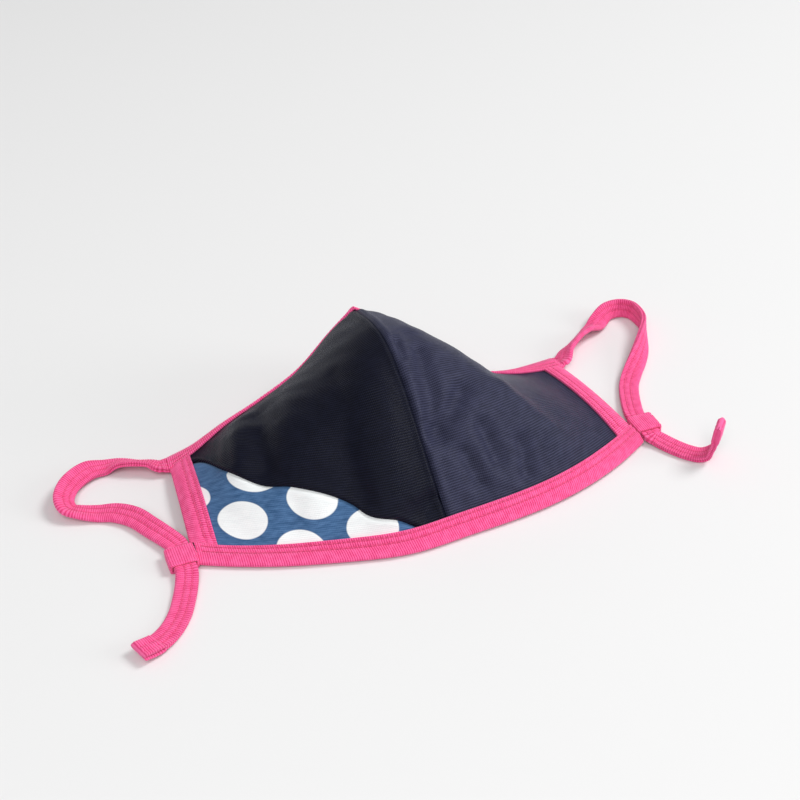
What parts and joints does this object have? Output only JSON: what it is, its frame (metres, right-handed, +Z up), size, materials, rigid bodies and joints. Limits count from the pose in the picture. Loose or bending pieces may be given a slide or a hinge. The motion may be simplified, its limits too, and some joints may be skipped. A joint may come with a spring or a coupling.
{
  "type": "cloth face mask",
  "caption": "Shaped cloth face mask with a centre ridge seam, taped edges and flat ear straps that slide in keepers, lying as put down.",
  "frame": {"origin": "bottom centre of the box round the whole lying mask, on the surface that it lies on", "axes": "+X to the right along the mask's width, -Y towards the chin edge, +Y towards the nose, +Z up"},
  "size_m": [0.3242, 0.154, 0.063],
  "materials": {
    "navy_knit": "fine cross-ribbed knit with a faint sheen",
    "dotted_knit": "matt blue jersey with large white polka dots",
    "edge_tape": "matt ribbed knit tape, folded, with two rows of stitches",
    "strap_tape": "matt ribbed knit tape, folded, with two rows of stitches"
  },
  "bodies": {
    "root": {"panel_left": "navy_knit", "panel_right": "navy_knit", "panel_left_dots": "dotted_knit", "chin_binding": "edge_tape", "top_binding": "edge_tape", "side_binding_left": "edge_tape", "side_binding_right": "edge_tape", "ear_strap_left": "strap_tape", "ear_strap_right": "strap_tape", "strap_keeper_left": "strap_tape", "strap_keeper_right": "strap_tape"}
  },
  "joints": []
}
